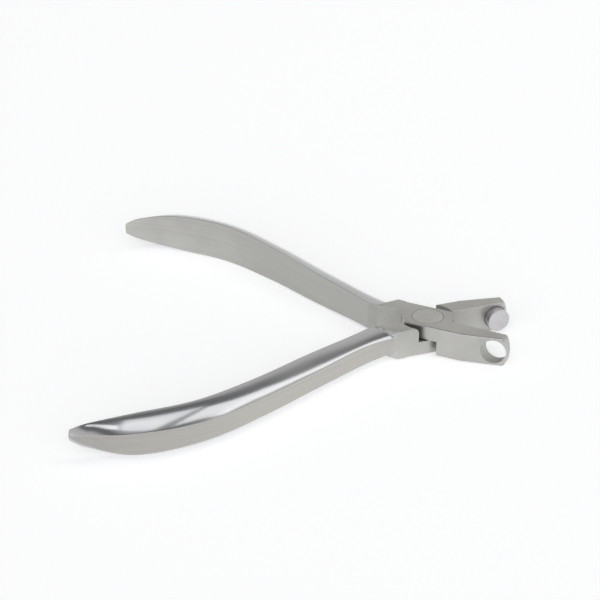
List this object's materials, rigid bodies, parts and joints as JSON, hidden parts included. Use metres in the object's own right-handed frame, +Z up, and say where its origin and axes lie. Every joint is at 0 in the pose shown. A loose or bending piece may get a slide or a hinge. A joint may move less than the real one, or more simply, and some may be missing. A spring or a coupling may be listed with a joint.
{
  "type": "crimping pliers",
  "caption": "Hand pliers whose jaws carry a round punch post and a matching round hole, with a flush riveted lap joint and bowed solid steel handles.",
  "frame": {"origin": "on the rivet's axis, at the flat underside of the joint", "axes": "+X along the closed centre line of the die half, towards its jaw tip; +Z up along the rivet; +Y towards the die half's handle side"},
  "size_m": [0.1251, 0.1163, 0.0112],
  "materials": {
    "forged_steel": "satin ground and blasted stainless steel, polished on the rounded sides of the handles",
    "rivet_steel": "satin, ground flush with the joint",
    "punch_steel": "finely ground, with a bright flat end"
  },
  "bodies": {
    "die_side": {"die_half": "forged_steel", "pivot_rivet": "rivet_steel"},
    "punch_side": {"punch_half": "forged_steel", "punch_post": "punch_steel"}
  },
  "joints": [
    {"name": "pivot", "type": "hinge", "parent": "die_side", "child": "punch_side", "pos_m": [0, 0, 0.004], "axis": [0, 0, 1], "range_deg": [-47, 37]}
  ]
}
